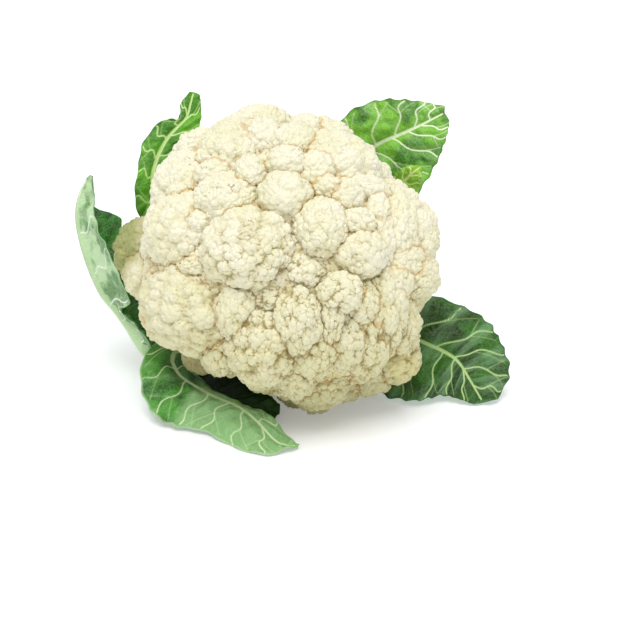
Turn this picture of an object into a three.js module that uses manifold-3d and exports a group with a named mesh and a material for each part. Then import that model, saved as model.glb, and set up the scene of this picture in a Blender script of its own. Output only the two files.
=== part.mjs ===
// A cauliflower laid on its side: the curd, its stalk and the leaves still on it.
// Millimetres, +Z up. The origin is the middle of the small flat that the head rests on.
//
// The crown looks forward (-Y) and a little up. Places on the head are given in the face frame:
// across (to the right), up, and out (towards whoever faces the crown), from the head's centre.
import * as THREE from "three";
import { mergeVertices } from "three/addons/utils/BufferGeometryUtils.js";
import Module from "manifold-3d";

const wasm = await Module();
wasm.setup();

// Driving dimensions
const HEAD_RADIUS = 76; // the ball that the florets stand on, across its axis
const CROWN_HEIGHT = 60; // the same ball, from the centre to the crown
const UNDER_HEIGHT = 42; // and from the centre to the underside
const FACE_RISE = THREE.MathUtils.degToRad(25); // how far up the face looks
const CROWN_AXIS = new THREE.Vector3(0.05, 0.17, 0.98).normalize(); // stalk to crown, in the face frame
// Where the head's ball is flatter: the way there on its face, in degrees up from the right, how far
// round the flat reaches from there, and how much of the ball's reach it takes off
const FLATS = [
  { turn: 45, width: 44, depth: 0.12 },
  { turn: 88, width: 20, depth: 0.07 },
  { turn: 243, width: 40, depth: 0.15 },
  { turn: 340, width: 16, depth: 0.11 },
  { turn: 120, width: 13, depth: -0.04 }, // and a swelling, which adds to it
];
const HEAD_HEIGHT = 75; // the head's centre above what the head rests on
const HEART_SHARE = 0.86; // the solid heart under the florets, as a share of the head's ball
const GAP = 0.4; // between pieces that touch

// Florets on the face: across, up, half width, half height, and how far they stand off the head's ball
const FACE_FLORETS = [
  // upper tier
  [-18, 73, 17, 6.5, 5],
  [-13.5, 64, 11, 7, 4],
  [10, 68, 9, 5, 3],
  [22, 65, 12, 7, 4],
  [4, 60, 10, 7, 5],
  [-31, 59.5, 17, 11, 6],
  [-48, 58, 10, 7, 6],
  [29, 52, 19, 12, 7],
  [0, 47, 9, 7, 6],
  [15, 44, 8, 8, 5],
  [-18, 43, 7, 7, 4],
  [-38, 43, 8, 6, 3],
  [-58, 42, 12, 11, 6],
  // middle tier
  [20, 35, 7, 5, 4],
  [29, 31, 9, 8, 4],
  [42, 35, 10, 6, 3],
  [62, 28.5, 10, 9, 3],
  [-0.5, 31, 12, 10, 7],
  [-31.5, 30, 13, 11, 7],
  [-58, 16, 14, 17, 7.5],
  [-43, 18, 5, 5, 3],
  [-20, 5, 20, 18, 13],
  [17, 15.5, 11.5, 13, 9],
  [37, 2.5, 11, 11, 8],
  [35, 17, 7, 6, 6],
  [46, 24, 5.5, 9, 3],
  [47, 9, 7, 14, 3],
  [57, 18, 9, 18, 4],
  [71, 14, 9, 16, 4],
  [63, -2, 10, 11, 3],
  [-48, -4, 8, 5, -1],
  [10, -7, 12, 10, 0],
  [-8, -21, 7, 6, -1],
  // lower tier
  [-56, -28, 21, 20, 8],
  [-25.5, -28, 10, 12.5, 4.5],
  [6, -31, 11, 14.5, 9],
  [26.5, -17, 10, 9, 7.5],
  [22, -31, 6, 11, 4],
  [38.5, -23, 7, 10, 4],
  [56, -12, 8, 10, 3],
  [69.5, -8.5, 9, 10.5, 5],
  [51, -29, 10, 20, 5],
  [60, -38, 8, 13, 4],
  [43, -45, 10, 16, 4],
  [31, -43, 9, 12, 4],
  [-12.5, -46, 17, 17, 8],
  [13.5, -48, 12, 13, 4],
  [5, -64, 9, 7, 2],
  [15, -70, 13, 7, 3],
  [-49, -53, 8, 7, 0],
  [-36, -52, 7, 7, 0],
];
// Florets round the rim and under it: centre across, up and out, and radius. The first carries the head.
const REST_FLORET = [6, -61, -18, 14];
const RIM_FLORETS = [
  REST_FLORET,
  [-75, 9, -12, 15],
  [-71, -8, 3, 12],
  [-59, -27, 8, 15],
  [-14, -53, -16, 12],
  [14, -65, 2, 12],
  [27, -59, 2, 13],
  [41, -55, 4, 13],
  [54, -49, 5, 13],
];
const FLORET_OVERLAP = 1.08; // how much wider a floret is than the part of it that shows
const STEEPEST_FLORET = 0.6; // a floret at the rim shows no narrower than this share of its width
const GAP_FLORET = { radius: 10.5, stand: -1 }; // fills the gaps on the face
const SIDE_FLORET = { radius: 22, stand: -1.5 }; // covers the sides and back
const FILL_POINTS = 500; // places tried for these two
const FLORET_SPACING = 0.85; // nearest that these come to another floret, as a share of its radius,
const FILL_SPACING = 0.6; // and the share of their own radius added to that
const FACE_EDGE = 0.1; // where the face ends, as the cosine to the way it looks
const LOWEST_FLORET = -0.5; // how far round the underside florets go, as the cosine to the crown
const LARGE_FLORET = 16; // radius from which a floret has small knobs, and not a few large ones
const KNOB_RELIEF = 0.05; // as a share of the floret's radius
const DEEPEST_FLORET = 1.25; // half depth of a floret, at most, as a share of its narrower half width
const FACE_STEPS = 40; // steps taken towards the place on the ball that shows at a point of the face
const SAME_PLACE = 1e-3; // corners nearer than this are one corner

// The stalk, as the head's axis runs down from its centre: distance and radius
const STALK_PROFILE = [
  [20, 0],
  [20, 44],
  [36, 50],
  [42, 40],
  [50, 31],
  [60, 25],
  [80, 23],
  [97, 25],
  [100, 23],
  [100, 0],
];
const STALK_BRANCHES = 7;
const BRANCH_RELIEF = 0.09;
const BRANCH_START = 70; // distance down the stalk at which the branches begin to part,
const BRANCH_END = 36; // and at which they are full
const STALK_STEPS = 28; // round the stalk
// Stubs of the leaves that were trimmed off: angle round the stalk from the right, and distance down it
const STUBS = [
  [100, 84],
  [60, 92],
  [0, 80],
  [-20, 93],
  [-75, 92],
  [-150, 94],
  [175, 92],
];
const STUB = {
  length: 30,
  halfWidth: 12,
  halfDepth: 4.5,
  lean: THREE.MathUtils.degToRad(48),
  rootOffset: 10,
  rootFlare: 1.15,
  sides: 12,
};
const REST_BLOCK = { width: 400, height: 50 }; // cuts away everything under the rest plane

// Leaves: where each joins the stalk, then rows across the blade from its foot to its tip, each with
// the left margin, the rib and the right margin as seen from the blade's upper side, tip away.
const LEAVES = [
  {
    name: "leaf_upper_right",
    colour: "#58a03a",
    foot: 62,
    rows: [
      [[14, 36, -58], [24, 32, -60], [34, 22, -62]],
      [[22, 58, -46], [37, 49, -50], [48, 32, -54]],
      [[27.3, 75, -34], [44, 59.8, -38], [65, 33, -41]],
      [[45, 83.5, -30], [59.7, 66.6, -32], [75, 47, -33]],
      [[64, 83, -28], [70, 71.3, -30], [80.5, 61, -29]],
      [[80, 80, -29], [80, 76.5, -30], [82.6, 72, -29]],
    ],
    wave: 1.5,
    waves: 3,
  },
  {
    name: "leaf_upper_right_inner",
    colour: "#8cb52c",
    foot: 54,
    rows: [
      [[36, 31, -49], [40, 27, -49], [43, 22, -48]],
      [[48, 38, -39], [52, 34, -39], [58, 29, -38]],
      [[53, 44, -30], [58, 40, -31], [67, 34, -32]],
      [[59, 48.5, -23], [63, 45, -24], [68, 41, -23]],
      [[66, 49, -22], [67, 48, -22], [68, 47, -22]],
    ],
    wave: 0.8,
    waves: 2,
  },
  {
    name: "leaf_lower_right",
    colour: "#4b8450",
    foot: 66,
    rows: [
      [[34, -12, -52], [30, -24, -54], [22, -38, -54]],
      [[54, -12, -38], [48, -32, -42], [34, -60, -40]],
      [[76, -17, -28], [66, -40, -31], [46, -69, -28]],
      [[98, -29, -28], [80.6, -46.8, -25], [64, -72.5, -18]],
      [[108, -42, -27], [87, -52, -22], [78, -69, -20]],
      [[111.7, -57, -24], [92, -60, -20], [87, -71, -20]],
      [[103, -69, -21], [97, -71, -20], [94, -72.3, -19.5]],
    ],
    wave: 1.2,
    waves: 3,
  },
  {
    name: "leaf_lower_left",
    colour: "#3f8a33",
    foot: 62,
    rows: [
      [[-28, -30, -52], [-34, -34, -50], [-40, -32, -50]],
      [[-50, -42, -36], [-58, -46, -28], [-68, -42, -21]],
      [[-47, -57, -20], [-56, -56.5, -12], [-73.5, -56, -9]],
      [[-39, -65, -8], [-44.6, -64, -2], [-67, -76, 2]],
      [[-28, -69, -3], [-34, -69, 4], [-57.5, -84, 5]],
      [[-20, -73, 3], [-23.6, -73.1, 10], [-42, -86.3, 10]],
      [[-9, -77, 11], [-14, -81, 17], [-24, -90, 16.5]],
      [[1, -87, 18], [-5, -90, 21.5], [-9.4, -93, 25]],
      [[6, -91, 23], [5, -92, 24], [3, -93, 26]],
    ],
    wave: 0.8,
    waves: 3,
  },
  {
    name: "leaf_under",
    colour: "#2c5424",
    foot: 84,
    rows: [
      [[-10, -38, -76], [-19, -42, -70], [-26, -42, -68]],
      [[-26, -52, -56], [-40, -54, -48], [-52, -50, -44]],
      [[-34, -56, -40], [-50, -60, -32], [-62, -60, -30]],
      [[-24, -62, -24], [-40, -69, -18], [-54, -72, -14]],
      [[-10, -66, -16], [-23, -73, -11], [-32, -78, -5]],
      [[-4, -73, -10], [-5, -77, -5], [-9, -81, 0]],
    ],
    wave: 0.8,
    waves: 2,
  },
  {
    name: "leaf_left",
    colour: "#9cc79a",
    foot: 74,
    rows: [
      [[-44, -42, -58], [-40, -32, -62], [-34, -22, -62]],
      [[-66, -52, -34], [-62, -50, -44], [-50, -32, -58]],
      [[-72.5, -42, -13], [-77, -46.4, -26], [-70, -34, -48]],
      [[-78.4, -32.5, -15], [-85.7, -33, -30], [-79, -24, -50]],
      [[-86, -25, -24], [-90.8, -24.4, -32], [-83, -12, -50]],
      [[-80.5, -21.4, -12], [-98.3, -16, -33], [-84, -2, -50]],
      [[-89.4, 0.3, -10], [-104.9, 0, -32], [-86, 12, -48]],
      [[-96.6, 18.2, -16], [-108.6, 18.8, -30], [-90, 22.5, -44]],
      [[-98.5, 31, -20], [-107.6, 31.6, -29], [-97.7, 30, -38]],
      [[-101, 44, -25], [-102, 44.2, -26], [-101, 44, -27]],
    ],
    wave: 0.6,
    waves: 2,
  },
  {
    name: "leaf_upper_left",
    colour: "#4c9a22",
    foot: 64,
    rows: [
      [[-46, 4, -50], [-44, 14, -50], [-34, 22, -50]],
      [[-74, 20, -36], [-64, 28, -38], [-50, 34, -40]],
      [[-79.3, 34, -30], [-70, 40, -31], [-56, 44, -34]],
      [[-77.5, 49.7, -28], [-68, 52, -29], [-54, 54, -32]],
      [[-75, 61, -28], [-63, 62, -28], [-52, 62, -31]],
      [[-66.2, 71.8, -27], [-58, 68, -28], [-47, 66, -30]],
      [[-57, 73.3, -28], [-52.5, 74, -29], [-44.7, 73.8, -30]],
      [[-55.4, 81.5, -28], [-50.5, 81, -29], [-45.2, 82, -30]],
      [[-51.3, 86.7, -29], [-49, 87, -30], [-46, 86, -30]],
    ],
    wave: 1.2,
    waves: 3,
  },
];
const BLADE_THICKNESS = 0.9;
const RIB_AT_FOOT = { halfWidth: 7, depth: 6 };
const RIB_AT_TIP = { halfWidth: 1.2, depth: 0.8 };
const PETIOLE_HALF_WIDTH = 8;
const BLADE_PUFF = 0.08; // how far each half of a blade swells, as a share of its width
const MARGIN_NOTCH = 0.05; // depth of the notches in a margin, as a share of the half blade
const NOTCH_START = 0.3; // first and last notch along the blade
const NOTCH_END = 0.95;
const WIDEST_RIB = 0.6; // a rib takes up no more than this share of the half blade
const WAVE_RAMP = 3; // how fast the waves grow from the foot
const ROWS_PER_SPAN = 2; // mesh rows to each row of a leaf
const HALF_COLUMNS = [0, 1 / 3, 2 / 3, 1]; // mesh columns from the rib's edge to the margin

const RIGHT = new THREE.Vector3(1, 0, 0);
const toPart = new THREE.Matrix4().makeRotationX(Math.PI / 2 - FACE_RISE);
const restFoot = new THREE.Vector3(...REST_FLORET).applyMatrix4(toPart);
toPart.setPosition(-restFoot.x, -restFoot.y, HEAD_HEIGHT);

function fromFace(p) {
  return p.clone().applyMatrix4(toPart);
}

function bare(geometry) {
  geometry.deleteAttribute("normal");
  geometry.deleteAttribute("uv");
  return mergeVertices(geometry, SAME_PLACE);
}

// A closed mesh, each of whose corners is given by place(corner), as a solid
function shapedSolid(geometry, place) {
  const positions = geometry.attributes.position;
  const corner = new THREE.Vector3();
  for (let i = 0; i < positions.count; i++) {
    const p = place(corner.fromBufferAttribute(positions, i));
    positions.setXYZ(i, p.x, p.y, p.z);
  }
  return new wasm.Manifold(
    new wasm.Mesh({
      numProp: 3,
      vertProperties: new Float32Array(positions.array),
      triVerts: new Uint32Array(geometry.index.array),
    }),
  );
}

// The largest body of a solid, with no sealed hollows
function wholeOf(solid) {
  const bodies = solid.decompose();
  return bodies.reduce((largest, body) => (body.volume() > largest.volume() ? body : largest));
}

function geometryOf(solid) {
  const mesh = solid.getMesh();
  const geometry = new THREE.BufferGeometry();
  geometry.setAttribute("position", new THREE.BufferAttribute(mesh.vertProperties, 3));
  geometry.setIndex(new THREE.BufferAttribute(mesh.triVerts, 1));
  geometry.computeVertexNormals();
  return geometry;
}

// How much of the ball's reach is left in a direction, once it is flattened
function flattening(direction) {
  return FLATS.reduce((share, flat) => {
    const turn = THREE.MathUtils.degToRad(flat.turn);
    const away = direction.angleTo(new THREE.Vector3(Math.cos(turn), Math.sin(turn), 0));
    const within = Math.min(away / THREE.MathUtils.degToRad(flat.width), 1);
    return share - flat.depth * Math.cos((within * Math.PI) / 2) ** 2;
  }, 1);
}

// The head's ball: where a line from its centre leaves it, and the way out of it there
function onBall(direction) {
  const along = direction.dot(CROWN_AXIS);
  const height = along > 0 ? CROWN_HEIGHT : UNDER_HEIGHT;
  const reach = 1 / Math.sqrt((1 - along * along) / HEAD_RADIUS ** 2 + (along / height) ** 2);
  const point = direction.clone().multiplyScalar(reach * flattening(direction));
  const axial = point.dot(CROWN_AXIS);
  const normal = point.clone().addScaledVector(CROWN_AXIS, -axial).divideScalar(HEAD_RADIUS ** 2);
  normal.addScaledVector(CROWN_AXIS, axial / height ** 2).normalize();
  return { point, normal };
}

// The place on the front of the head's ball that shows at (across, up), found by stepping in to it
function onFace(across, up) {
  const guess = new THREE.Vector3(across, up, HEAD_RADIUS);
  for (let step = 0; step < FACE_STEPS; step++) {
    const excess = guess.length() - onBall(guess.clone().normalize()).point.length();
    guess.z = Math.max(guess.z - excess, 0);
  }
  return onBall(guess.normalize());
}

// A floret: its size along three axes, and its centre, so that its top stands that far off the ball
function floretAt({ point, normal }, width, height, stand) {
  const sideways = RIGHT.clone().addScaledVector(normal, -normal.x).normalize();
  const upward = normal.clone().cross(sideways);
  const depth = Math.min(Math.sqrt(width * height), DEEPEST_FLORET * Math.min(width, height));
  const centre = point.clone().addScaledVector(normal, stand - depth);
  return { centre, point, axes: [sideways, upward, normal], size: [width, height, depth] };
}

// A floret of the face, from the width and height that show
function faceFloret([across, up, halfWidth, halfHeight, stand]) {
  const place = onFace(across, up);
  const [sideways, upward] = floretAt(place, 1, 1, 0).axes;
  const width = (halfWidth * FLORET_OVERLAP) / Math.max(sideways.x, STEEPEST_FLORET);
  const height = (halfHeight * FLORET_OVERLAP) / Math.max(upward.y, STEEPEST_FLORET);
  return floretAt(place, width, height, stand);
}

function rimFloret([across, up, out, radius]) {
  const centre = new THREE.Vector3(across, up, out);
  const axes = [RIGHT, new THREE.Vector3(0, 1, 0), new THREE.Vector3(0, 0, 1)];
  return { centre, point: centre, axes, size: [radius, radius, radius] };
}

function sideFlorets(florets) {
  const golden = Math.PI * (3 - Math.sqrt(5));
  for (let i = 0; i < FILL_POINTS; i++) {
    const z = 1 - (2 * i + 1) / FILL_POINTS;
    const ring = Math.sqrt(1 - z * z);
    const direction = new THREE.Vector3(ring * Math.cos(golden * i), ring * Math.sin(golden * i), z);
    if (direction.dot(CROWN_AXIS) < LOWEST_FLORET) continue;
    const place = onBall(direction);
    const { radius, stand } = place.normal.z > FACE_EDGE ? GAP_FLORET : SIDE_FLORET;
    const crowded = ({ point, size }) => {
      const room = FLORET_SPACING * Math.sqrt(size[0] * size[1]) + FILL_SPACING * radius;
      return point.distanceTo(place.point) < room;
    };
    if (!florets.some(crowded)) florets.push(floretAt(place, radius, radius, stand));
  }
  return florets;
}

// A ball whose every other corner stands up as a knob. Twice the detail plus one halves each edge.
function floretSolid({ centre, axes, size }, growth) {
  const detail = Math.sqrt(size[0] * size[1]) > LARGE_FLORET ? 1 : 0;
  const coarse = bare(new THREE.IcosahedronGeometry(1, detail)).attributes.position;
  const knobs = [];
  for (let i = 0; i < coarse.count; i++) knobs.push(new THREE.Vector3().fromBufferAttribute(coarse, i));
  return shapedSolid(bare(new THREE.IcosahedronGeometry(1, 2 * detail + 1)), (corner) => {
    const isKnob = knobs.some((knob) => knob.distanceTo(corner) < SAME_PLACE);
    const lift = isKnob ? 1 + KNOB_RELIEF : 1 - KNOB_RELIEF;
    const p = centre.clone();
    axes.forEach((axis, k) => p.addScaledVector(axis, corner.getComponent(k) * (size[k] * lift + growth)));
    return fromFace(p);
  });
}

function curdSolid(florets, growth) {
  let curd = shapedSolid(bare(new THREE.IcosahedronGeometry(1, 5)), (corner) => {
    const reach = onBall(corner.clone().normalize()).point;
    return fromFace(reach.setLength(reach.length() * HEART_SHARE + growth));
  });
  for (const floret of florets) curd = curd.add(floretSolid(floret, growth));
  return wholeOf(curd.subtract(belowRest(growth)));
}

function stalkSolid(growth) {
  const profile = STALK_PROFILE.map(([down, radius]) => {
    return new THREE.Vector2(radius ? radius + growth : 0, -down);
  });
  const lathe = bare(new THREE.LatheGeometry(profile.reverse(), STALK_STEPS));
  const turn = new THREE.Quaternion().setFromUnitVectors(new THREE.Vector3(0, 1, 0), CROWN_AXIS);
  const stem = shapedSolid(lathe, (corner) => {
    const spread = THREE.MathUtils.smoothstep(corner.y, -BRANCH_START, -BRANCH_END);
    const branch = 1 + BRANCH_RELIEF * spread * Math.cos(STALK_BRANCHES * Math.atan2(corner.x, corner.z));
    const p = new THREE.Vector3(corner.x * branch, corner.y, corner.z * branch);
    return fromFace(p.applyQuaternion(turn));
  });
  const trimmed = STUBS.reduce((stalk, stub) => stalk.add(stubSolid(stub, growth)), stem);
  return trimmed.subtract(belowRest(growth));
}

// A thick leaf foot, cut off square, leaning out from the stalk towards the crown
function stubSolid([angle, down], growth) {
  const turn = THREE.MathUtils.degToRad(angle);
  const outward = new THREE.Vector3(Math.cos(turn), Math.sin(turn), 0);
  outward.addScaledVector(CROWN_AXIS, -outward.dot(CROWN_AXIS)).normalize();
  const aside = CROWN_AXIS.clone().cross(outward);
  const along = outward.clone().multiplyScalar(Math.sin(STUB.lean));
  along.addScaledVector(CROWN_AXIS, Math.cos(STUB.lean));
  const deep = aside.clone().cross(along);
  const root = CROWN_AXIS.clone().multiplyScalar(-down).addScaledVector(outward, STUB.rootOffset);
  const cylinder = bare(new THREE.CylinderGeometry(1, STUB.rootFlare, 1, STUB.sides, 1));
  return shapedSolid(cylinder, (corner) => {
    const p = root.clone().addScaledVector(along, (corner.y + 0.5) * (STUB.length + growth));
    p.addScaledVector(aside, corner.x * (STUB.halfWidth + growth));
    return fromFace(p.addScaledVector(deep, corner.z * (STUB.halfDepth + growth)));
  });
}

// Everything under the level that the head rests on
function belowRest(growth) {
  const block = bare(new THREE.BoxGeometry(REST_BLOCK.width, REST_BLOCK.width, REST_BLOCK.height));
  return shapedSolid(block, (corner) => corner.setZ(corner.z - REST_BLOCK.height / 2 - growth));
}

function leafRails({ foot, rows }) {
  const root = CROWN_AXIS.clone().multiplyScalar(-foot);
  const [left, , right] = rows[0].map((p) => new THREE.Vector3(...p));
  const side = right.sub(left).setLength(PETIOLE_HALF_WIDTH);
  const rails = [-1, 0, 1].map((k) => [root.clone().addScaledVector(side, k)]);
  rows.forEach((row) => row.forEach((p, k) => rails[k].push(new THREE.Vector3(...p))));
  return rails.map((points) => new THREE.CatmullRomCurve3(points, false, "catmullrom", 0.5));
}

function atLeast(height, p) {
  return p.setZ(Math.max(p.z, height));
}

function leafSolid(leaf) {
  const [left, rib, right] = leafRails(leaf);
  const spans = leaf.rows.length;
  const rowCount = spans * ROWS_PER_SPAN;
  const upper = [];
  const lower = [];
  for (let i = 0; i <= rowCount; i++) {
    const u = i / rowCount;
    const along = rib.getTangent(u);
    const middle = rib.getPoint(u);
    const edges = [left.getPoint(u), right.getPoint(u)];
    const normal = edges[1].clone().sub(edges[0]).cross(along).normalize();
    const halfWidths = edges.map((edge) => edge.distanceTo(middle));
    const ribHalf = THREE.MathUtils.lerp(RIB_AT_FOOT.halfWidth, RIB_AT_TIP.halfWidth, Math.sqrt(u));
    const ribDepth = THREE.MathUtils.lerp(RIB_AT_FOOT.depth, RIB_AT_TIP.depth, Math.sqrt(u));
    const notch = i % 2 && u > NOTCH_START && u < NOTCH_END ? MARGIN_NOTCH : 0;
    const halves = [0, 1].map((k) => {
      const shoulder = Math.min(ribHalf / halfWidths[k], WIDEST_RIB);
      const reach = 1 - shoulder - notch;
      return HALF_COLUMNS.map((c) => ({ k, v: shoulder + reach * c, depth: BLADE_THICKNESS }));
    });
    const across = [...halves[0].reverse(), { k: 0, v: 0, depth: ribDepth }, ...halves[1]];
    upper.push([]);
    lower.push([]);
    for (const { k, v, depth } of across) {
      const puff = BLADE_PUFF * halfWidths[k] * 4 * v * (1 - v);
      const swell = leaf.wave * v * v * Math.min(1, WAVE_RAMP * u);
      const wave = swell * Math.sin(2 * Math.PI * (leaf.waves * u + 0.5 * k));
      const top = middle.clone().lerp(edges[k], v).addScaledVector(normal, puff + wave + BLADE_THICKNESS / 2);
      upper[i].push(atLeast(BLADE_THICKNESS, fromFace(top)));
      lower[i].push(atLeast(0, fromFace(top.addScaledVector(normal, -depth))));
    }
  }
  return sheetSolid(upper, lower);
}

// A closed sheet between two grids of points, split into triangles alike on both faces
function sheetSolid(upper, lower) {
  const rows = upper.length;
  const columns = upper[0].length;
  const positions = [...upper.flat(), ...lower.flat()].flatMap((p) => p.toArray());
  const faces = [];
  const at = (i, j) => i * columns + j;
  const under = rows * columns;
  const quad = (a, b, c, d) => faces.push(a, b, c, a, c, d);
  for (let i = 0; i < rows - 1; i++) {
    for (let j = 0; j < columns - 1; j++) {
      const [a, b, c, d] = [at(i, j), at(i, j + 1), at(i + 1, j + 1), at(i + 1, j)];
      quad(a, b, c, d);
      faces.push(under + a, under + c, under + b, under + a, under + d, under + c);
    }
    quad(at(i, 0), at(i + 1, 0), under + at(i + 1, 0), under + at(i, 0));
    const [e, f] = [at(i + 1, columns - 1), at(i, columns - 1)];
    quad(e, f, under + f, under + e);
  }
  for (let j = 0; j < columns - 1; j++) {
    quad(at(0, j + 1), at(0, j), under + at(0, j), under + at(0, j + 1));
    const [g, h] = [at(rows - 1, j), at(rows - 1, j + 1)];
    quad(g, h, under + h, under + g);
  }
  const geometry = new THREE.BufferGeometry();
  geometry.setAttribute("position", new THREE.Float32BufferAttribute(positions, 3));
  geometry.setIndex(faces);
  return shapedSolid(geometry, (corner) => corner);
}

const part = new THREE.Group();
function addPiece(name, solid, colour, roughness) {
  const material = new THREE.MeshStandardMaterial({ color: colour, roughness, metalness: 0 });
  const mesh = new THREE.Mesh(geometryOf(solid), material);
  mesh.name = name;
  part.add(mesh);
}

const faceFlorets = FACE_FLORETS.map(faceFloret);
const florets = sideFlorets([...RIM_FLORETS.map(rimFloret), ...faceFlorets]);
addPiece("curd", curdSolid(florets, 0), "#efe8cf", 0.75);
addPiece("stalk", wholeOf(stalkSolid(0).subtract(curdSolid(florets, GAP))), "#cfdcae", 0.6);
for (const leaf of LEAVES) {
  addPiece(leaf.name, wholeOf(leafSolid(leaf).subtract(stalkSolid(GAP))), leaf.colour, 0.5);
}

export default part;
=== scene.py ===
"""A cauliflower lying on its side: knobbly cream curd, cut stalk and waxy leaves, on a white table."""
import math
import bpy
import numpy as np
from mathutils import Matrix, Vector
from mathutils.bvhtree import BVHTree
from numpy.linalg import norm


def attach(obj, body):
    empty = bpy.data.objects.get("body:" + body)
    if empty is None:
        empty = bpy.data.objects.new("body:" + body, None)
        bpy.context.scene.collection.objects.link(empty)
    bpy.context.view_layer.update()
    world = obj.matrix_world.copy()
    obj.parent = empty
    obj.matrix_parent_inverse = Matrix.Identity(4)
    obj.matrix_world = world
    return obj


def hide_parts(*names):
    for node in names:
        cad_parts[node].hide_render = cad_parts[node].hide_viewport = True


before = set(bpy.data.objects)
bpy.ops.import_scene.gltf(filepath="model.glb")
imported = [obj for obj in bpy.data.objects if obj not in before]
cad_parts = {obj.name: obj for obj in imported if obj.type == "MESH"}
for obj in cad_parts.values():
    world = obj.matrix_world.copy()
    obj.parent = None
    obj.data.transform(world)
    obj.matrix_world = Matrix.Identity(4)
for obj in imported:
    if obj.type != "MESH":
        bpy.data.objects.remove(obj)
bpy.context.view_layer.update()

# ---- the head's own frame, in millimetres
# Places on the head are across (right), up and out (towards whoever faces the crown) from its centre.
MM = 0.001
HEAD_RADIUS = 76.0
CROWN_HEIGHT = 60.0
UNDER_HEIGHT = 42.0
FACE_RISE = math.radians(25)
HEAD_HEIGHT = 75.0
CROWN_AXIS = np.array([0.05, 0.17, 0.98]) / norm([0.05, 0.17, 0.98])
# Where the head's ball is flatter: the way there on its face, in degrees up from the right, how far round
# the flat reaches, and how much of the ball's reach it takes off. The last one is a swelling.
FLATS = [(45, 44, 0.12), (88, 20, 0.07), (243, 40, 0.15), (340, 16, 0.11), (120, 13, -0.04)]
TURN = np.array([
    [1, 0, 0],
    [0, math.sin(FACE_RISE), -math.cos(FACE_RISE)],
    [0, math.cos(FACE_RISE), math.sin(FACE_RISE)],
])

# Florets on the face: across, up, half width, half height, and how far they stand off the head's ball
UPPER_FLORETS = [
    (-18, 73, 17, 6.5, 5), (-13.5, 64, 11, 7, 4), (10, 68, 9, 5, 3), (22, 65, 12, 7, 4),
    (4, 60, 10, 7, 5), (-31, 59.5, 17, 11, 6), (-48, 58, 10, 7, 6), (29, 52, 19, 12, 7),
    (0, 47, 9, 7, 6), (15, 44, 8, 8, 5), (-18, 43, 7, 7, 4), (-38, 43, 8, 6, 3),
    (-58, 42, 12, 11, 6),
]
MIDDLE_FLORETS = [
    (20, 35, 7, 5, 4), (29, 31, 9, 8, 4), (42, 35, 10, 6, 3), (62, 28.5, 10, 9, 3),
    (-0.5, 31, 12, 10, 7), (-31.5, 30, 13, 11, 7), (-58, 16, 14, 17, 7.5), (-43, 18, 5, 5, 3),
    (-20, 5, 20, 18, 13), (17, 15.5, 11.5, 13, 9), (37, 2.5, 11, 11, 8), (35, 17, 7, 6, 6),
    (46, 24, 5.5, 9, 3), (47, 9, 7, 14, 3), (57, 18, 9, 18, 4), (71, 14, 9, 16, 4),
    (63, -2, 10, 11, 3), (-48, -4, 8, 5, -1), (10, -7, 12, 10, 0), (-8, -21, 7, 6, -1),
]
LOWER_FLORETS = [
    (-56, -28, 21, 20, 8), (-25.5, -28, 10, 12.5, 4.5), (6, -31, 11, 14.5, 9), (26.5, -17, 10, 9, 7.5),
    (22, -31, 6, 11, 4), (38.5, -23, 7, 10, 4), (56, -12, 8, 10, 3), (69.5, -8.5, 9, 10.5, 5),
    (51, -29, 10, 20, 5), (60, -38, 8, 13, 4), (43, -45, 10, 16, 4), (31, -43, 9, 12, 4),
    (-12.5, -46, 17, 17, 8), (13.5, -48, 12, 13, 4), (5, -64, 9, 7, 2), (18, -70.5, 14, 7.5, 3.5),
    (-49, -53, 8, 7, 7), (-36, -52, 7, 7, 2.5),
]
# Florets round the rim and under it: centre and radius. The first carries the head.
REST_FLORET = (6, -61, -18, 14)
RIM_FLORETS = [
    REST_FLORET, (-71.5, 4.5, -12, 17), (-71, -8, 3, 12), (-59, -27, 8, 15), (-14, -53, -16, 12),
    (14, -65, 2, 12), (27, -59, 2, 13), (41, -55, 4, 13), (54, -49, 5, 13),
]
FLORET_OVERLAP = 1.08  # a floret is this much larger than what shows of it
STEEPEST_FLORET = 0.6  # and one on a slope is widened by 1 over this at most
DEEPEST_FLORET = 1.25  # depth over the smaller half size, at most
FACE_STEPS = 40

# Florets that fill gaps, sides and, as buds, crevices: radius, and how far they stand off the ball
GAP_FLORET = (10.5, -1)
SIDE_FLORET = (22, -1.5)
BUD_FLORET = (8, -3)
FILL_POINTS = 500  # how many places are tried
BUD_POINTS = 1400
FLORET_SPACING = 0.85  # the room that a floret takes, and that a new one and a new bud need
FILL_SPACING = 0.6
BUD_SPACING = 0.62
FACE_EDGE = 0.1  # the face ends where the way out of the ball points outwards this little
LOWEST_FLORET = -0.5  # how far round they grow: the cosine from the crown's axis
LOWEST_BUD = -0.35
BARE = 1.02  # a place is bare from this share of a floret's size

# A floret's form. Lobes: radius, and its largest share of the floret's.
PLUMP = 1.1  # florets press against each other, so each is this much larger than its place
SQUARENESS = 2.1  # 2 is a ball, and more has steeper sides and a flatter top
FIRST_LOBE = (8.5, 0.5)
LAST_LOBE = (3.2, 0.34)
LOBE_TRIES = 420
LOBE_SHRINK = 0.6
LOBE_SIZES = (0.85, 1.1)
LOBE_TOPS = (-0.04, 0.015)
LOBE_SPACING = 0.62
LOWEST_LOBE = -0.5
LOBE_DEPTH = 2.6  # where the painted shade in the crease between lobes is darkest, and how dark
LOBE_DARK = 0.5
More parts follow.
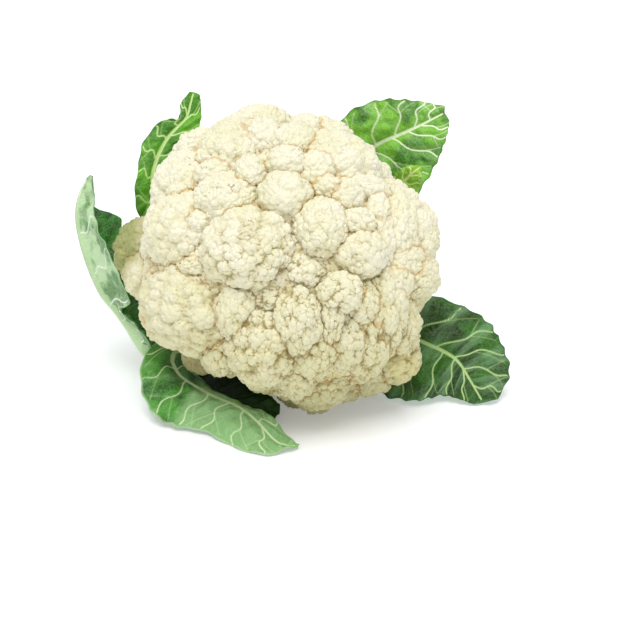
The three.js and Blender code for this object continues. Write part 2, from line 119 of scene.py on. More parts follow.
# Knobs and the granules on them. Crease is half the width of their creases, and dark how dark the painted
# shade in those is.
KNOB = dict(spacing=4.2, crease=0.65, height=0.9, uneven=0.4, dark=0.4)
GRANULE = dict(spacing=2.2, crease=0.45, height=0.32, uneven=0.2, dark=0.3)
HEART_KNOB = dict(spacing=4, crease=1, height=0.8, uneven=0.5)
HALF_RELIEF = 0.5
STONE_AREA = 0.87  # over its spacing squared
STONE_REACH = 0.62  # over its spacing
STONE_JITTER = 0.28
STONE_FOOT = 0.35  # painted shade darkens it below this share of its height
FLAT_SHARE = 0.55  # how much of it is a flat top, and how much a dome
DOME_SHARE = 0.45
FEWEST_STONES = 12
SWELLS = 4  # broad swells of a floret, and their height over its radius
SWELL_SPREAD = 1.6
SWELL_HEIGHT = 0.008
OUTER_PART = 0.8  # the corners this far round from a floret's top are drawn in to OUTER_END
OUTER_PULL = 0.7
OUTER_END = 0.56
INNER_STRETCH = 2.2
FINE_FLORET = 13  # a floret from this radius has the finer mesh
FLORET_SEED = 100
CURD_MERGE = 0.000002  # metres

# The heart under the florets, as a share of the head's ball, and its painted shade, as low down between
# them
HEART_SHARE = 0.93
HEART_SEED = 7
HEART_TINT = {"sunk": 0.8, "deep": 0.3}

# Crevices, in millimetres
CREVICE_REACH = 2.0  # how far off a neighbour's skin a crevice starts
SKIN_RANGE = 5  # a floret further off than this is out of the way
BURIED_DEPTH = 0.8  # what is this far under a neighbour's skin is drawn together
ROOT_SHARE = 0.8  # to a point at this share of the way to its floret

# Painted shade on the curd, from where it starts to where it is full: off the ball, across and up
SUNK = (-9, 1.5)
LEFT_SHADE = (-65, -10)
UNDER_SHADE = (-38, -52)
LOW_UP = (60, -20)
RIM_ACROSS = (36, 60)
RIM_UP = (-42, -15)
LEFT_SHARE = 0.45  # how much of it there is left of that
RIM_LIGHT = 0.75  # how much of it the painted light on the bright rim takes off
CREVICE_SHADE = 0.35
CREVICE_TINGE = (0.75, 0.2)  # how much painted warm shade the crevices have, and how much less low down
CREASE_SHARE = 0.35
# Patches: a yellow stain, painted greenish shade by the left leaf, and painted shade under the lower left:
# centre and half size
PATCHES = {
    "stain": ((57, -53, 8), (12, 10, 40)),
    "painted_green_shade": ((-85, 7, -14), (25, 28, 42)),
    "painted_shade_low_left": ((-50, -60, 0), (30, 17, 60)),
}
PATCH_CORE = 0.45
# each patch also deepens the painted shade low down, up to this much
PATCH_SHADE = 0.8

ORIGIN_SHIFT = np.array([0, 0, HEAD_HEIGHT]) - (TURN @ np.array(REST_FLORET[:3])) * np.array([1, 1, 0])


def to_part(points):
    """Points of the head's frame, in millimetres, as points of the part's frame, in metres."""
    return (np.asarray(points, float) @ TURN.T + ORIGIN_SHIFT) * MM


def unit(v):
    return v / norm(v, axis=-1, keepdims=True)


def smooth(low, high, x):
    """0 at low and 1 at high, whichever is larger, and a smooth rise between them."""
    t = np.clip((x - low) / (high - low), 0, 1)
    return t * t * (3 - 2 * t)


def at_least(least, share):
    """A share of 0 to 1 as one of least to 1."""
    return least + (1 - least) * share


# ---- small helpers
def linear(text):
    """An sRGB hex colour as the linear numbers that a material takes."""
    parts = [int(text[i:i + 2], 16) / 255 for i in (1, 3, 5)]
    return tuple(c / 12.92 if c <= 0.04045 else ((c + 0.055) / 1.055) ** 2.4 for c in parts) + (1,)


def clear_selection():
    bpy.ops.object.select_all(action="DESELECT")


def active():
    return bpy.context.view_layer.objects.active


def pick(*pieces):
    clear_selection()
    for piece in pieces:
        piece.select_set(True)
    bpy.context.view_layer.objects.active = pieces[0]


def corners_of(mesh):
    flat = np.empty(len(mesh.vertices) * 3, np.float32)
    mesh.vertices.foreach_get("co", flat)
    return flat.reshape(-1, 3).astype(float)


def place_corners(mesh, points):
    mesh.vertices.foreach_set("co", np.ascontiguousarray(points, np.float32).ravel())
    mesh.update()


def settle(mesh, points):
    """Places the corners from the head's frame, and flattens on the table what would go under it."""
    placed = to_part(points)
    placed[:, 2] = np.maximum(placed[:, 2], 0.0)
    place_corners(mesh, placed)


def give_values(mesh, values):
    """Gives the corners the values, by name, that materials read."""
    for name, value in values.items():
        layer = mesh.attributes.get(name) or mesh.attributes.new(name, "FLOAT", "POINT")
        layer.data.foreach_set("value", np.ascontiguousarray(value, np.float32))


def corner_numbers(mesh):
    """Which of the mesh's corners each of its faces takes, one face after another."""
    numbers = np.empty(len(mesh.loops), np.int32)
    mesh.loops.foreach_get("vertex_index", numbers)
    return numbers


def lay_pattern(mesh, spread):
    """The mesh's UV map, in millimetres, from where each of its corners lies on the flat."""
    flat = spread[corner_numbers(mesh)].astype(np.float32)
    mesh.uv_layers.active.data.foreach_set("uv", flat.ravel())


def added(name, data):
    made = bpy.data.objects.new(name, data)
    bpy.context.scene.collection.objects.link(made)
    return made


def joined(name, pieces):
    """Several pieces as one, shaded smooth."""
    pick(*pieces)
    bpy.ops.object.join()
    whole = active()
    whole.name = whole.data.name = name
    bpy.ops.object.shade_smooth()
    return whole


def merge_doubles(piece, distance, outward=False):
    """Merges corners that are within a distance in metres, and may turn the faces outwards."""
    pick(piece)
    bpy.ops.object.mode_set(mode="EDIT")
    bpy.ops.mesh.select_all(action="SELECT")
    bpy.ops.mesh.remove_doubles(threshold=distance)
    if outward:
        bpy.ops.mesh.normals_make_consistent(inside=False)
    bpy.ops.object.mode_set(mode="OBJECT")


def flat_grid(name, across, along):
    """A flat grid of that many faces each way, 2 by 2, to be laid on a surface."""
    clear_selection()
    bpy.ops.mesh.primitive_grid_add(x_subdivisions=across, y_subdivisions=along, size=2)
    piece = active()
    piece.name = piece.data.name = name
    return piece


def cover(piece, material):
    piece.data.materials.clear()
    piece.data.materials.append(material)


def even_ways(count):
    """Directions spread evenly over a ball, on a spiral from its front to its back."""
    i = np.arange(count)
    z = 1 - (2 * i + 1) / count
    turn = math.pi * (3 - math.sqrt(5)) * i
    ring = np.sqrt(1 - z * z)
    return np.stack([ring * np.cos(turn), ring * np.sin(turn), z], 1)


# ---- the curd
def ball_reach(points):
    """How far the head's flattened ball reaches towards each point."""
    ways = unit(points)
    along = ways @ CROWN_AXIS
    height = np.where(along > 0, CROWN_HEIGHT, UNDER_HEIGHT)
    share = 1.0
    for turn, width, depth in FLATS:
        middle = np.array([math.cos(math.radians(turn)), math.sin(math.radians(turn)), 0])
        away = np.degrees(np.arccos(np.clip(ways @ middle, -1, 1)))
        share = share - depth * np.cos(np.minimum(away / width, 1) * math.pi / 2) ** 2
    return share / np.sqrt((1 - along * along) / HEAD_RADIUS ** 2 + (along / height) ** 2)


def on_ball(direction):
    """Where a line from the centre leaves the head's ball, and the way out of it there."""
    height = CROWN_HEIGHT if direction @ CROWN_AXIS > 0 else UNDER_HEIGHT
    point = direction * ball_reach(direction)
    axial = point @ CROWN_AXIS
    normal = (point - CROWN_AXIS * axial) / HEAD_RADIUS ** 2 + CROWN_AXIS * axial / height ** 2
    return point, unit(normal)


def on_face(across, up):
    """The place of the head's ball that shows there, found by drawing a guess in until it lies on it."""
    guess = np.array([across, up, HEAD_RADIUS], float)
    for _ in range(FACE_STEPS):
        excess = norm(guess) - norm(on_ball(unit(guess))[0])
        guess[2] = max(guess[2] - excess, 0)
    return on_ball(unit(guess))


def floret_at(place, width, height, stand):
    point, normal = place
    sideways = unit(np.array([1, 0, 0]) - normal * normal[0])
    upward = np.cross(normal, sideways)
    depth = min(math.sqrt(width * height), DEEPEST_FLORET * min(width, height))
    return {
        "centre": point + normal * (stand - depth),
        "point": point,
        "axes": np.array([sideways, upward, normal]),
        "size": np.array([width, height, depth]),
    }


def face_floret(across, up, half_width, half_height, stand):
    """A floret of the face, from the width and height that show."""
    place = on_face(across, up)
    sideways, upward, _ = floret_at(place, 1, 1, 0)["axes"]
    width = half_width * FLORET_OVERLAP / max(sideways[0], STEEPEST_FLORET)
    height = half_height * FLORET_OVERLAP / max(upward[1], STEEPEST_FLORET)
    return floret_at(place, width, height, stand)


def rim_floret(across, up, out, radius):
    centre = np.array([across, up, out], float)
    outward = unit(centre)
    sideways = unit(np.cross([0, 1, 0], outward))
    axes = np.array([sideways, np.cross(outward, sideways), outward])
    return {"centre": centre, "point": centre, "axes": axes, "size": np.full(3, float(radius))}


def fill_florets(florets):
    """Small florets in the gaps of the face and large ones round the sides, where there is room."""
    gaps, sides = [], []
    for direction in even_ways(FILL_POINTS):
        if direction @ CROWN_AXIS < LOWEST_FLORET:
            continue
        place = on_ball(direction)
        radius, stand = GAP_FLORET if place[1][2] > FACE_EDGE else SIDE_FLORET
        near = [
            norm(f["point"] - place[0])
            < FLORET_SPACING * math.sqrt(f["size"][0] * f["size"][1]) + FILL_SPACING * radius
            for f in florets + gaps + sides
        ]
        if not any(near):
            (gaps if radius == GAP_FLORET[0] else sides).append(floret_at(place, radius, radius, stand))
    return gaps, sides


def fill_buds(florets):
    """Small sunken buds wherever the bottom of a crevice would be bare."""
    buds = []
    radius, stand = BUD_FLORET
    for x, y, z in even_ways(BUD_POINTS):
        direction = np.array([y, x, z])
        if direction @ CROWN_AXIS < LOWEST_BUD:
            continue
        place = on_ball(direction)
        bare = all(norm((f["axes"] @ (place[0] - f["centre"])) / f["size"]) > BARE for f in florets)
        apart = all(norm(f["point"] - place[0]) > BUD_SPACING * 2 * radius for f in buds)
        if bare and apart:
            buds.append(floret_at(place, radius, radius, stand))
    return buds


def lobes_of(radius, random):
    """The lobes of a floret, large ones first and small ones in the gaps: direction, size and top."""
    found = []
    first, last = (min(size / radius, share) for size, share in (FIRST_LOBE, LAST_LOBE))
    for k in range(LOBE_TRIES):
        size = first + (last - first) * (k / LOBE_TRIES) ** LOBE_SHRINK
        size *= random.uniform(*LOBE_SIZES)
        z = random.uniform(LOWEST_LOBE, 1)
        turn = random.uniform(0, 2 * math.pi)
        ring = math.sqrt(1 - z * z)
        way = np.array([ring * math.cos(turn), ring * math.sin(turn), z])
        if all(norm(way - w) > LOBE_SPACING * (size + s) for w, s, _ in found):
            found.append((way, size, 1 + random.uniform(*LOBE_TOPS)))
    return [np.array(column) for column in zip(*found)]


def cobbled(ways, radius, stone, random):
    """Cobblestones over a ball of that radius: how high each point of them is, 0 in the creases and 1
    on top, and how far its stone stands out or in."""
    count = max(FEWEST_STONES, int(4 * math.pi * radius ** 2 / (STONE_AREA * stone["spacing"] ** 2)))
    moved = random.normal(0, STONE_JITTER * math.sqrt(4 * math.pi / count), (count, 3))
    cells = unit(even_ways(count) + moved).astype(np.float32)
    lift = random.uniform(-0.5, 0.5, count)
    close = ways.astype(np.float32) @ cells.T
    rows = np.arange(len(ways))
    nearest = close.argmax(1)
    gap = np.sqrt(np.maximum(2 - 2 * close[rows, nearest], 0)) * radius
    close[rows, nearest] = -2
    next_gap = np.sqrt(np.maximum(2 - 2 * close.max(1), 0)) * radius
    flat = smooth(0, stone["crease"], (next_gap - gap) / 2)
    dome = np.clip(1 - (gap / (STONE_REACH * stone["spacing"])) ** 2, 0, 1)
    return FLAT_SHARE * flat + DOME_SHARE * dome, lift[nearest] * flat


def outer_share(ways):
    """The ball's corners drawn towards its outer side, where the floret shows."""
    angle = np.arccos(np.clip(ways[:, 2], -1, 1)) / math.pi
    near, far = angle * OUTER_PULL, OUTER_END + (angle - OUTER_PART) * INNER_STRETCH
    drawn = np.where(angle < OUTER_PART, near, far) * math.pi
    turn = np.arctan2(ways[:, 1], ways[:, 0])
    return np.stack([np.sin(drawn) * np.cos(turn), np.sin(drawn) * np.sin(turn), np.cos(drawn)], 1)


def shape_floret(ball, floret, seed):
    """One floret: lobes like a heap of balls, knobs on them, and granules on the knobs. Gives its
    corners and the painted shade that each has down in the creases."""
    random = np.random.default_rng(seed)
    size = floret["size"] * PLUMP
    radius = size.mean()
    ways = outer_share(unit(corners_of(ball.data)))

    lobe_ways, lobe_sizes, tops = lobes_of(radius, random)
    close = ways @ lobe_ways.T
    reach = tops - lobe_sizes
    under = lobe_sizes ** 2 - reach ** 2 * (1 - close ** 2)
    surface = np.where((under > 0) & (close > 0), reach * close + np.sqrt(np.maximum(under, 0)), 0)
    lobed = np.maximum(surface.max(1), 1 - lobe_sizes.mean() / 2)
    waves = random.normal(0, SWELL_SPREAD, (SWELLS, 3))
    swell = np.sin(ways @ waves.T + random.uniform(0, 6.28, SWELLS)).sum(1) * SWELL_HEIGHT

    relief = dark = 0
    for stone in (KNOB, GRANULE):
        height, stand = cobbled(ways, radius, stone, random)
        relief = relief + stone["height"] * height + stone["uneven"] * stand
        dark = dark + (1 - smooth(0, STONE_FOOT, height)) * stone["dark"]
    lift = lobed + swell + (relief - HALF_RELIEF) / radius
    outline = (1 - ways[:, 2] ** 2) ** (SQUARENESS / 2) + np.abs(ways[:, 2]) ** SQUARENESS
    lift = lift / outline ** (1 / SQUARENESS)
    local = ways * size * lift[:, None]
    local[:, 2] -= (PLUMP - 1) * floret["size"][2]

    # painted shade in the creases between lobes and at the foot of knobs and granules
    crease = np.clip((1 - lobed) * radius / LOBE_DEPTH, 0, 1) * LOBE_DARK + dark
    return floret["centre"] + local @ floret["axes"], np.clip(crease, 0, 1)


def crevice_of(points, neighbours):
    """How deep each point is in a crevice between florets, 1 where their skins meet, and whether it is
    buried in another floret or in the heart."""
    nearest = np.full(len(points), np.inf)
    buried = norm(points, axis=1) < ball_reach(points) * HEART_SHARE - BURIED_DEPTH
    for other in neighbours:
        offset = (points - other["centre"]) @ other["axes"].T / (other["size"] * PLUMP)
        gap = (norm(offset, axis=1) - 1) * other["size"].mean()
        buried |= gap < -SKIN_RANGE
        for k in np.flatnonzero(~buried & (gap < SKIN_RANGE)):
            spot, normal, _, distance = other["skin"].find_nearest(points[k], CREVICE_REACH)
            if spot is None:
                buried[k] = gap[k] < -CREVICE_REACH
            elif (Vector(points[k]) - spot).dot(normal) < 0:
                nearest[k] = 0
                buried[k] = distance > BURIED_DEPTH
            else:
                nearest[k] = min(nearest[k], distance)
    return 1 - smooth(0, CREVICE_REACH, nearest), buried


def dress_floret(floret, neighbours):
    """The floret as a mesh, with the values that its skin is coloured by: painted shade in its creases,
    crevices and recesses and low down, and the patches.
    """
    points = floret["points"]
    crevice, buried = crevice_of(points, neighbours)
    if buried.all():
        return None
    across, up = points[:, 0], points[:, 1]
    sunk = 1 - smooth(*SUNK, norm(points, axis=1) - ball_reach(points))
    # Painted shade: low down, less at the left except underneath, and less on the bright rim
    shade = np.maximum(smooth(*LEFT_SHADE, across), smooth(*UNDER_SHADE, up))
    rim = smooth(*RIM_ACROSS, across) * smooth(*RIM_UP, up)
    low = smooth(*LOW_UP, up) * at_least(LEFT_SHARE, shade) * (1 - RIM_LIGHT * rim)
    values = {
        "shadowed": np.minimum(floret["crease"] + CREVICE_SHADE * crevice, 1) * low,
        "crevice": crevice * (CREVICE_TINGE[0] - CREVICE_TINGE[1] * low),
        "sunk": sunk,
        "deep": crevice * sunk,
    }
    for name, (centre, half) in PATCHES.items():
        away = norm((points - centre) / half, axis=1)
        values[name] = 1 - smooth(PATCH_CORE, 1, away)
        low = np.maximum(low, PATCH_SHADE * values[name])
    values["crease"] = floret["crease"] * at_least(CREASE_SHARE, low)

    piece = added("floret", floret["ball"].data.copy())
    give_values(piece.data, values)
    settle(piece.data, np.where(buried[:, None], floret["point"] * ROOT_SHARE, points))
    return piece


def ball_of(subdivisions):
    clear_selection()
    bpy.ops.mesh.primitive_ico_sphere_add(subdivisions=subdivisions, radius=1)
    return active()


def make_curd():
    """Every floret of the head, tier by tier, and the heart that they grow from."""
    rim = [rim_floret(*f) for f in RIM_FLORETS]
    upper, middle, lower = (
        [face_floret(*f) for f in tier] for tier in (UPPER_FLORETS, MIDDLE_FLORETS, LOWER_FLORETS)
    )
    standing = rim + upper + middle + lower
    gaps, sides = fill_florets(standing)
    buds = fill_buds(standing + gaps + sides)
    everything = standing + gaps + sides + buds
    tiers = {
        "florets_upper": upper, "florets_middle": middle, "florets_lower": lower, "florets_rim": rim,
        "florets_between": gaps, "florets_behind": sides, "florets_budding": buds,
    }

    coarse, fine = ball_of(5), ball_of(6)
    for number, floret in enumerate(everything):
        ball = floret["ball"] = fine if floret["size"].mean() > FINE_FLORET else coarse
        floret["points"], floret["crease"] = shape_floret(ball, floret, FLORET_SEED + number)
        triangles = corner_numbers(ball.data).reshape(-1, 3).tolist()
        floret["skin"] = BVHTree.FromPolygons(floret["points"].tolist(), triangles)
    pieces = []
    for name, florets in tiers.items():
        group = []
        for floret in florets:
            reach = floret["size"].max() + SKIN_RANGE
            near = [
                other for other in everything if other is not floret
                and norm(other["centre"] - floret["centre"]) < reach + other["size"].max()
            ]
            group.append(dress_floret(floret, near))
        pieces.append(joined(name, [piece for piece in group if piece]))
        merge_doubles(pieces[-1], CURD_MERGE)
    pieces.append(make_heart(fine))
    for ball in (coarse, fine):
        bpy.data.objects.remove(ball)
    return pieces


def make_heart(ball):
    """The core that the florets grow from, seen only at the bottom of the crevices."""
    ways = unit(corners_of(ball.data))
    knob, lift = cobbled(ways, HEAD_RADIUS, HEART_KNOB, np.random.default_rng(HEART_SEED))
    reach = ball_reach(ways) * HEART_SHARE + knob * HEART_KNOB["height"] + lift * HEART_KNOB["uneven"]
    piece = added("curd_heart", ball.data.copy())
    settle(piece.data, ways * reach[:, None])
    # painted shade in the creases between its knobs, and in the recesses between the florets
    give_values(piece.data, {
        "crease": 1 - smooth(0.1, 0.6, knob),
        **{name: np.full(len(ways), share) for name, share in HEART_TINT.items()},
    })
    return joined("curd_heart", [piece])


# ---- the leaves
# Each leaf: how far down the stalk it joins it, then rows across the blade from foot to tip, each the left
# margin, the rib and the right margin, seen from its upper side, tip away. Side veins, left (-1) and right
# (1), leave the rib and reach the margin at these shares of its length. Tints: light and dark skin, waxy
# coat with painted sheen, tip, underside, the shade on it, veins. Turn: where the tip's tint starts and is
# full, and how strong it is; on the lower left leaf that tint is painted light on the part that faces up,
# and on the leaf under the curd painted light on its end. Edge: how strong the margin's tint is, and the
# tint.
LEAF_LOOK = dict(bloom_and_sheen=0.3, turn=(0.9, 1.0, 0.3), keel="#d3dfae")
LEAVES = [dict(
    name="leaf_upper_right", slot="leaf_green", foot=62, wave=1.5, waves=3,
    rows=[
        ((14, 36, -58), (24, 32, -60), (34, 22, -62)),
        ((22, 58, -46), (37, 49, -50), (48, 32, -54)),
        ((27.3, 75, -34), (44, 59.8, -38), (65, 33, -41)),
        ((45, 83.5, -30), (59.7, 66.6, -32), (75, 47, -33)),
        ((64, 83, -28), (70, 71.3, -30), (80.5, 61, -29)),
        ((80, 80, -29), (80, 76.5, -30), (82.6, 72, -29)),
    ],
    veins={-1: [(0.38, 0.5), (0.5, 0.66), (0.62, 0.78), (0.74, 0.88), (0.86, 0.95)],
           1: [(0.36, 0.48), (0.47, 0.62), (0.58, 0.74), (0.69, 0.86), (0.8, 0.93)]},
    tints=["#76be22", "#2b7007", "#90c66c", "#3d6b2a", "#9cc47f", "#7eab62", "#eef9d6"],
    bloom_and_sheen=0.35, turn=(0.9, 1.0, 0.5), net=0.14, edge=(0.5, "#3f7420"),
), dict(
    name="leaf_upper_right_inner", slot="leaf_young", foot=54, wave=0.8, waves=2, teeth=3,
    rows=[
        ((36, 31, -49), (40, 27, -49), (43, 22, -48)),
        ((48, 38, -39), (52, 34, -39), (58, 29, -38)),
        ((53, 44, -30), (58, 40, -31), (67, 34, -32)),
        ((59, 48.5, -23), (63, 45, -24), (68, 41, -23)),
        ((66, 49, -22), (67, 48, -22), (68, 47, -22)),
    ],
    veins={-1: [(0.5, 0.62), (0.64, 0.76), (0.78, 0.88)],
           1: [(0.48, 0.6), (0.62, 0.76), (0.76, 0.88)]},
    tints=["#98d436", "#5ea016", "#a8d860", "#5f9420", "#a8c070", "#8fae55", "#dcef98"],
    net=0.15, edge=(0.6, "#5d8f1c"),
), dict(
    name="leaf_lower_right", slot="leaf_blue_green", foot=66, wave=1.2, waves=3,
    rows=[
        ((34, -12, -52), (30, -24, -54), (22, -38, -54)),
        ((58, -13, -36), (48, -32, -42), (34, -60, -40)),
        ((81, -19, -28), (66, -40, -31), (46, -69, -28)),
        ((101, -28.5, -28), (80.6, -46.8, -25), (64, -72.5, -18)),
        ((109.8, -42, -27), (87, -52, -22), (78, -69, -20)),
        ((113.7, -57, -24), (92, -60, -20), (87, -71, -20)),
        ((107, -70, -20), (99, -72, -19.5), (94, -73, -19.5)),
    ],
    veins={-1: [(0.9, 0.95), (0.4, 0.5), (0.52, 0.64), (0.64, 0.76), (0.76, 0.88)],
           1: [(0.3, 0.36), (0.42, 0.5), (0.54, 0.62), (0.66, 0.74), (0.78, 0.88)]},
    tints=["#2a6214", "#0b2d04", "#84b082", "#2f6b33", "#8db394", "#6c976c", "#b2d088"],
    bloom_and_sheen=0.45, net=0.08, edge=(0.4, "#1f5a26"),
), dict(
    name="leaf_lower_left", slot="leaf_green", foot=62, wave=0.8, waves=3, skew=0.13,
    rows=[
        ((-28, -30, -52), (-34, -34, -50), (-40, -32, -50)),
        ((-50, -42, -42), (-58, -46, -28), (-68, -42, -21)),
        ((-47, -57, -32), (-56, -56.5, -12), (-75.5, -58, -9)),
        ((-39, -65, -13), (-44.6, -64, -2), (-69.5, -76, 2)),
        ((-28, -69, -3), (-34, -69, 4), (-57.5, -84, 5)),
        ((-20, -73, 3), (-23.6, -73.1, 10), (-42, -86.3, 10)),
        ((-9, -77, 11), (-14, -81, 17), (-25.5, -93, 23)),
        ((1, -87, 18), (-5, -90, 21.5), (-10.5, -96, 30)),
        ((6, -91, 23), (5, -92, 24), (3, -93, 26)),
    ],
    veins={1: [(0.2, 0.26), (0.3, 0.36), (0.4, 0.46), (0.5, 0.56), (0.6, 0.66), (0.7, 0.76), (0.8, 0.87)],
           -1: [(0.3, 0.36), (0.45, 0.52), (0.6, 0.68), (0.75, 0.83)]},
    tints=["#479628", "#145407", "#78b068", "#90be7e", "#9cc49a", "#7aa872", "#d3eab8"],
    bloom_and_sheen=0.4, turn=(0.41, 0.46, 0.8), net=0.12, edge=(0.75, "#c3deae"),
), dict(
    name="leaf_under", slot="leaf_blue_green", foot=84, wave=0.8, waves=2,
    rows=[
        ((-10, -38, -76), (-19, -42, -70), (-26, -42, -68)),
        ((-26, -52, -56), (-40, -54, -48), (-52, -50, -44)),
        ((-30, -51, -42), (-50, -60, -32), (-62, -60, -30)),
        ((-20, -55, -30), (-40, -69, -18), (-54, -72, -14)),
        ((-10, -66, -16), (-23, -73, -11), (-32, -78, -5)),
        ((-4, -73, -10), (-4.5, -77, -5), (-8, -84, 4)),
    ],
    veins={side: [(0.35, 0.42), (0.55, 0.64), (0.75, 0.84)] for side in (-1, 1)},
    # painted shade: tinted near black, as it lies in the shade under the curd; its tip tint is painted
    # light on its end
    tints=["#0c2007", "#061103", "#14290f", "#2c5a20", "#2b4724", "#1f3a1a", "#2c4a22"],
    turn=(0.7, 1.0, 0.8), keel="#4c6a3a", net=0.06, edge=(0.3, "#203c1a"),
), dict(
    name="leaf_left", slot="leaf_pale", foot=74, wave=0.6, waves=2, upper_veins=0.3,
    rows=[
        ((-44, -42, -58), (-40, -32, -62), (-34, -22, -62)),
        ((-66, -52, -34), (-62, -50, -44), (-50, -32, -58)),
        ((-70, -42, -13), (-72, -46, -26), (-66, -34, -48)),
        ((-77.4, -32.5, -15), (-82, -32.5, -30), (-72, -24, -50)),
        ((-85.5, -25, -24), (-89.2, -24, -32), (-74, -12, -50)),
        ((-80.5, -21.4, -12), (-95.8, -15.8, -33), (-79, -2, -50)),
        ((-89.4, 0.3, -10), (-102.9, 0, -32), (-85, 13, -48)),
        ((-96.6, 18.2, -16), (-107.8, 18.8, -30), (-89, 24, -44)),
        ((-98.5, 31, -20), (-107.2, 31.6, -29), (-101, 29, -36)),
        ((-101, 44, -25), (-102, 44.2, -26), (-101, 44, -27)),
    ],
    veins={-1: [(0.3, 0.38), (0.42, 0.5), (0.54, 0.6), (0.65, 0.72), (0.76, 0.84)],
           1: [(0.3, 0.38), (0.42, 0.5), (0.54, 0.62), (0.66, 0.74), (0.78, 0.86)]},
    tints=["#2c8212", "#14500a", "#3c8a24", "#3f7a3a", "#b8d6a4", "#447a34", "#e8f2de"],
    bloom_and_sheen=0.2, keel="#b9d6a2", net=0.12, edge=(0.4, "#86b27c"),
), dict(
    name="leaf_upper_left", slot="leaf_green", foot=64, wave=1.2, waves=3,
    rows=[
        ((-46, 4, -50), (-44, 14, -50), (-34, 22, -50)),
        ((-74, 20, -36), (-64, 28, -38), (-50, 34, -40)),
        ((-79.3, 34, -30), (-70, 40, -31), (-56, 44, -34)),
        ((-77.5, 49.7, -28), (-68, 52, -29), (-54, 54, -32)),
        ((-75, 61, -28), (-63, 62, -28), (-52, 62, -31)),
        ((-66.2, 71.8, -27), (-58, 68, -28), (-47, 66, -30)),
        ((-57, 73.3, -28), (-52.5, 74, -29), (-44.7, 73.8, -30)),
        ((-55.4, 81.5, -28), (-50.5, 81, -29), (-45.2, 82, -30)),
        ((-51.3, 86.7, -29), (-49, 87, -30), (-46, 86, -30)),
    ],
    veins={-1: [(0.25, 0.32), (0.36, 0.43), (0.46, 0.53), (0.56, 0.63), (0.68, 0.76), (0.8, 0.88)],
           1: [(0.3, 0.36), (0.45, 0.52), (0.6, 0.68), (0.76, 0.84)]},
    tints=["#5fae1c", "#246c08", "#7db75a", "#3f7d1c", "#9cc47f", "#7eab62", "#cbea98"],
    net=0.12, edge=(0.4, "#2c6a14"),
)]
LEAF_SEED = 40
LEAF_STEP = 0.7  # spacing of a blade's mesh
BLADE_THICKNESS = 0.6
BLADE_PUFF = 0.08  # how far each half of a blade stands up, over its width
RUFFLE = 0.55  # small waves of the margins: their height, how many, and where along the leaf they start
RUFFLES = 11
RUFFLE_START = (0.25, 0.45)
TOOTH = 0.045  # the depth of large and small teeth, over the blade's half width, and where they start
SMALL_TOOTH = 0.02
TEETH_START = (0.22, 0.4)
# Veins: half width at the root and at the end, and how clearly they show
RIB = (1.5, 0.25, 1.0)
SIDE_VEIN = (0.18, 0.12, 0.9)
FORK = (0.15, 0.1, 0.45)
RIB_END = 0.98  # as a share of the leaf's length
VEIN_END = 0.9  # and of the way to the margin
FORK_END = 0.88
VEIN_SWAY = 0.012
FORK_TURN = 0.055  # how far forks part from their vein, along the leaf
VEIN_BLUR = 0.5
VEIN_RELIEF = 0.45  # how far veins stand out underneath
PUFF = 1.5  # how far the blade rises between its veins, and how far from them it has risen
PUFF_REACH = 4.5
PILLOW_REACH = 5
PUCKERS = 7  # ridges across that rise, their wavelengths, and their height over that
PUCKER_LENGTHS = (6, 13)
PUCKER_HEIGHT = 0.022
SMOOTH_FOOT = (0.15, 0.35)
# Under the blade, the half width and depth of the petiole and of the rib's end
PETIOLE_HALF_WIDTH = 8.0
KEEL_HALF_WIDTHS = (7, 1.2)
KEEL_DEPTHS = (6, 0.8)
KEEL_EDGE = 0.6


def rail(points, u):
    """A smooth line through the points, at each share u of its length."""
    points = np.asarray(points, float)
    ends = np.vstack([2 * points[0] - points[1], points, 2 * points[-1] - points[-2]])
    spans = len(points) - 1
    t = np.clip(u, 0, 1) * spans
    k = np.minimum(t.astype(int), spans - 1)
    t = (t - k)[:, None]
    a, b, c, d = (ends[k + j] for j in range(4))
    bend, twist = 2 * a - 5 * b + 4 * c - d, 3 * b - a - 3 * c + d
    return 0.5 * (2 * b + (c - a) * t + bend * t ** 2 + twist * t ** 3)


class Blade:
    """The middle surface of a leaf, by share u along it and s across it, -1 at the left margin."""

    def __init__(self, leaf):
        self.leaf = leaf
        rows = np.array(leaf["rows"], float)
        root = -CROWN_AXIS * leaf["foot"]
        side = unit(rows[0, 2] - rows[0, 0]) * PETIOLE_HALF_WIDTH
        self.lines = [np.vstack([root + side * k, rows[:, k + 1]]) for k in (-1, 0, 1)]
        self.widest = norm(rows[:, 2] - rows[:, 0], axis=1).max()

    def frame(self, u):
        left, rib, right = (rail(line, u) for line in self.lines)
        along = unit(rail(self.lines[1], u + 0.004) - rail(self.lines[1], u - 0.004))
        normal = unit(np.cross(right - left, along))
        return left, rib, right, normal

    def at(self, u, s):
        left, rib, right, normal = self.frame(u)
        edge = np.where((s < 0)[:, None], left, right)
        half = norm(edge - rib, axis=1)
        v = np.abs(s)
        puff = BLADE_PUFF * half * 4 * v * (1 - v)
        phase = self.leaf["waves"] * u + 0.5 * (s > 0)
        wave = self.leaf["wave"] * v * v * np.minimum(1, 3 * u) * np.sin(2 * np.pi * phase)
        turns = 2 * np.pi * (RUFFLES * u + 0.37 * (s > 0)) + 2.2 * np.sin(9 * u)
        ruffle = RUFFLE * v ** 4 * smooth(*RUFFLE_START, u) * np.sin(turns)
        point = rib + (edge - rib) * v[:, None] + normal * (puff + wave + ruffle)[:, None]
        return point, normal, half


